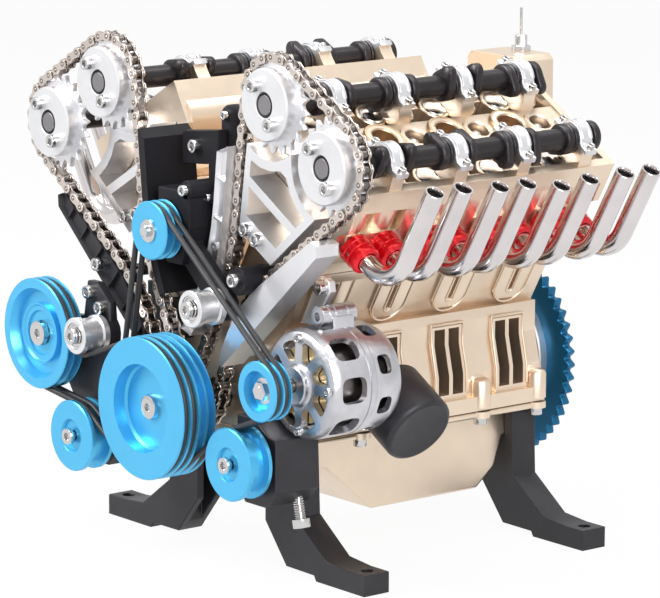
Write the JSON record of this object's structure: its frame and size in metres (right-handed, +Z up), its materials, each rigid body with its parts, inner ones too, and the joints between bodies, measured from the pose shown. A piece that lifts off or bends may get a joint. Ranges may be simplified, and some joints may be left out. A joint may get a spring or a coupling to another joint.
{
  "type": "four stroke engine model",
  "caption": "Working display model of a V8 four stroke engine with open twin-cam heads, roller timing chains, belt drive, exhaust pipes and feet.",
  "frame": {"origin": "centre of the bounding box at the level of the feet", "axes": "+Z up, +Y to the rear (flywheel), +X to the bank with the alternator"},
  "size_m": [0.2032, 0.1736, 0.1767],
  "materials": {
    "gold_casting": "pale champagne gold, satin",
    "silver": "machined",
    "cast_silver": "die cast, painted",
    "black_steel": "blackened, satin",
    "black_paint": "satin paint",
    "sky_blue": "anodised, turned",
    "rubber": "matte",
    "red_gloss": "gloss",
    "polished": "polished",
    "chain_steel": "bright"
  },
  "bodies": {
    "engine": {"engine_block": "gold_casting", "oil_pan": "gold_casting", "cylinder_head_right": "gold_casting", "cylinder_head_left": "gold_casting", "timing_frame_right": "silver", "timing_frame_left": "silver", "outer_guide_right": "silver", "outer_guide_left": "black_paint", "inner_guide_right": "silver", "inner_guide_left": "black_paint", "timing_chain_right": "chain_steel", "timing_chain_left": "chain_steel", "water_pump_housing": "black_paint", "alternator_housing": "cast_silver", "oil_filter": "black_paint", "bracket_right": "black_paint", "bracket_left": "black_paint", "rear_housing": "gold_casting", "front_leg_right": "black_paint", "front_leg_left": "black_paint", "rear_leg_right": "black_paint", "rear_leg_left": "black_paint", "left_belt_1": "rubber", "left_belt_2": "rubber", "right_belt_1": "rubber", "right_belt_2": "rubber", "exhaust_1_right": "red_gloss", "exhaust_1_left": "red_gloss", "exhaust_2_right": "red_gloss", "exhaust_2_left": "red_gloss", "exhaust_3_right": "red_gloss", "exhaust_3_left": "red_gloss", "exhaust_4_right": "red_gloss", "exhaust_4_left": "red_gloss"},
    "crank": {"crankshaft": "black_steel", "crank_pulley": "sky_blue"},
    "exhaust_cam_right": {"exhaust_cam_right": "black_steel"},
    "intake_cam_right": {"intake_cam_right": "black_steel"},
    "exhaust_cam_left": {"exhaust_cam_left": "black_steel"},
    "intake_cam_left": {"intake_cam_left": "black_steel"},
    "pump_pulley": {"pump_pulley": "sky_blue"},
    "alternator_rotor": {"alternator_rotor": "sky_blue"},
    "side_pulley": {"side_pulley": "sky_blue"},
    "spool_left": {"spool_left": "sky_blue"},
    "spool_right": {"spool_right": "sky_blue"},
    "drum_left": {"drum_left": "silver"},
    "drum_right": {"drum_right": "silver"},
    "switch_lever": {"switch_lever": "polished"},
    "rods_1": {"rod_pair_1": "black_steel"},
    "rods_2": {"rod_pair_2": "black_steel"},
    "rods_3": {"rod_pair_3": "black_steel"},
    "rods_4": {"rod_pair_4": "black_steel"},
    "piston_1_right": {"piston_1_right": "polished"},
    "piston_1_left": {"piston_1_left": "polished"},
    "piston_2_right": {"piston_2_right": "polished"},
    "piston_2_left": {"piston_2_left": "polished"},
    "piston_3_right": {"piston_3_right": "polished"},
    "piston_3_left": {"piston_3_left": "polished"},
    "piston_4_right": {"piston_4_right": "polished"},
    "piston_4_left": {"piston_4_left": "polished"}
  },
  "joints": [
    {"name": "crank_spin", "type": "hinge", "parent": "engine", "child": "crank", "pos_m": [0, -0.06136, 0.0555], "axis": [0, 1, 0], "continuous": true},
    {"name": "exhaust_cam_right_spin", "type": "hinge", "parent": "engine", "child": "exhaust_cam_right", "pos_m": [0.06774, -0.06136, 0.14202], "axis": [0, 1, 0], "continuous": true},
    {"name": "intake_cam_right_spin", "type": "hinge", "parent": "engine", "child": "intake_cam_right", "pos_m": [0.03846, -0.06136, 0.15892], "axis": [0, 1, 0], "continuous": true},
    {"name": "exhaust_cam_left_spin", "type": "hinge", "parent": "engine", "child": "exhaust_cam_left", "pos_m": [-0.06774, -0.06136, 0.14202], "axis": [0, 1, 0], "continuous": true},
    {"name": "intake_cam_left_spin", "type": "hinge", "parent": "engine", "child": "intake_cam_left", "pos_m": [-0.03846, -0.06136, 0.15892], "axis": [0, 1, 0], "continuous": true},
    {"name": "pump_pulley_spin", "type": "hinge", "parent": "engine", "child": "pump_pulley", "pos_m": [-0.0035, -0.06136, 0.1139], "axis": [0, 1, 0], "continuous": true},
    {"name": "alternator_spin", "type": "hinge", "parent": "engine", "child": "alternator_rotor", "pos_m": [0.0543, -0.06136, 0.0696], "axis": [0, 1, 0], "continuous": true},
    {"name": "side_pulley_spin", "type": "hinge", "parent": "engine", "child": "side_pulley", "pos_m": [-0.06, -0.06136, 0.0712], "axis": [0, 1, 0], "continuous": true},
    {"name": "spool_left_spin", "type": "hinge", "parent": "engine", "child": "spool_left", "pos_m": [-0.038, -0.06136, 0.0396], "axis": [0, 1, 0], "continuous": true},
    {"name": "spool_right_spin", "type": "hinge", "parent": "engine", "child": "spool_right", "pos_m": [0.0404, -0.06136, 0.0432], "axis": [0, 1, 0], "continuous": true},
    {"name": "drum_left_spin", "type": "hinge", "parent": "engine", "child": "drum_left", "pos_m": [-0.0345, -0.06136, 0.0746], "axis": [0, 1, 0], "continuous": true},
    {"name": "drum_right_spin", "type": "hinge", "parent": "engine", "child": "drum_right", "pos_m": [0.0213, -0.06136, 0.0916], "axis": [0, 1, 0], "continuous": true},
    {"name": "rods_1_turn", "type": "hinge", "parent": "crank", "child": "rods_1", "pos_m": [0, -0.06136, 0.061], "axis": [0, 1, 0], "continuous": true},
    {"name": "rods_2_turn", "type": "hinge", "parent": "crank", "child": "rods_2", "pos_m": [0.0055, -0.06136, 0.0555], "axis": [0, 1, 0], "continuous": true},
    {"name": "rods_3_turn", "type": "hinge", "parent": "crank", "child": "rods_3", "pos_m": [-0.0055, -0.06136, 0.0555], "axis": [0, 1, 0], "continuous": true},
    {"name": "rods_4_turn", "type": "hinge", "parent": "crank", "child": "rods_4", "pos_m": [0, -0.06136, 0.05], "axis": [0, 1, 0], "continuous": true},
    {"name": "switch_tilt", "type": "hinge", "parent": "engine", "child": "switch_lever", "pos_m": [0, 0.08324, 0.166], "axis": [1, 0, 0], "range_deg": [-12, 12]},
    {"name": "piston_1_right_slide", "type": "slide", "parent": "engine", "child": "piston_1_right", "axis": [0.5, 0, 0.866], "range_m": [-0.01026, 0.00074]},
    {"name": "piston_1_left_slide", "type": "slide", "parent": "engine", "child": "piston_1_left", "axis": [-0.5, 0, 0.866], "range_m": [-0.01026, 0.00074]},
    {"name": "piston_2_right_slide", "type": "slide", "parent": "engine", "child": "piston_2_right", "axis": [0.5, 0, 0.866], "range_m": [-0.00825, 0.00275]},
    {"name": "piston_2_left_slide", "type": "slide", "parent": "engine", "child": "piston_2_left", "axis": [-0.5, 0, 0.866], "range_m": [-0.00275, 0.00825]},
    {"name": "piston_3_right_slide", "type": "slide", "parent": "engine", "child": "piston_3_right", "axis": [0.5, 0, 0.866], "range_m": [-0.00275, 0.00825]},
    {"name": "piston_3_left_slide", "type": "slide", "parent": "engine", "child": "piston_3_left", "axis": [-0.5, 0, 0.866], "range_m": [-0.00825, 0.00275]},
    {"name": "piston_4_right_slide", "type": "slide", "parent": "engine", "child": "piston_4_right", "axis": [0.5, 0, 0.866], "range_m": [-0.00074, 0.01026]},
    {"name": "piston_4_left_slide", "type": "slide", "parent": "engine", "child": "piston_4_left", "axis": [-0.5, 0, 0.866], "range_m": [-0.00074, 0.01026]}
  ],
  "couplings": [
    {"joint": "exhaust_cam_right_spin", "follows": "crank_spin", "ratio": 0.5},
    {"joint": "intake_cam_right_spin", "follows": "crank_spin", "ratio": 0.5},
    {"joint": "exhaust_cam_left_spin", "follows": "crank_spin", "ratio": 0.5},
    {"joint": "intake_cam_left_spin", "follows": "crank_spin", "ratio": 0.5},
    {"joint": "pump_pulley_spin", "follows": "crank_spin", "ratio": 2.6588},
    {"joint": "alternator_spin", "follows": "crank_spin", "ratio": 2.6279},
    {"joint": "side_pulley_spin", "follows": "crank_spin", "ratio": 1.2768},
    {"joint": "spool_left_spin", "follows": "crank_spin", "ratio": -2.0734},
    {"joint": "spool_right_spin", "follows": "crank_spin", "ratio": -2.0734},
    {"joint": "drum_left_spin", "follows": "crank_spin", "ratio": -3.3235},
    {"joint": "rods_1_turn", "follows": "crank_spin", "ratio": -1},
    {"joint": "rods_2_turn", "follows": "crank_spin", "ratio": -1},
    {"joint": "rods_3_turn", "follows": "crank_spin", "ratio": -1},
    {"joint": "rods_4_turn", "follows": "crank_spin", "ratio": -1}
  ]
}
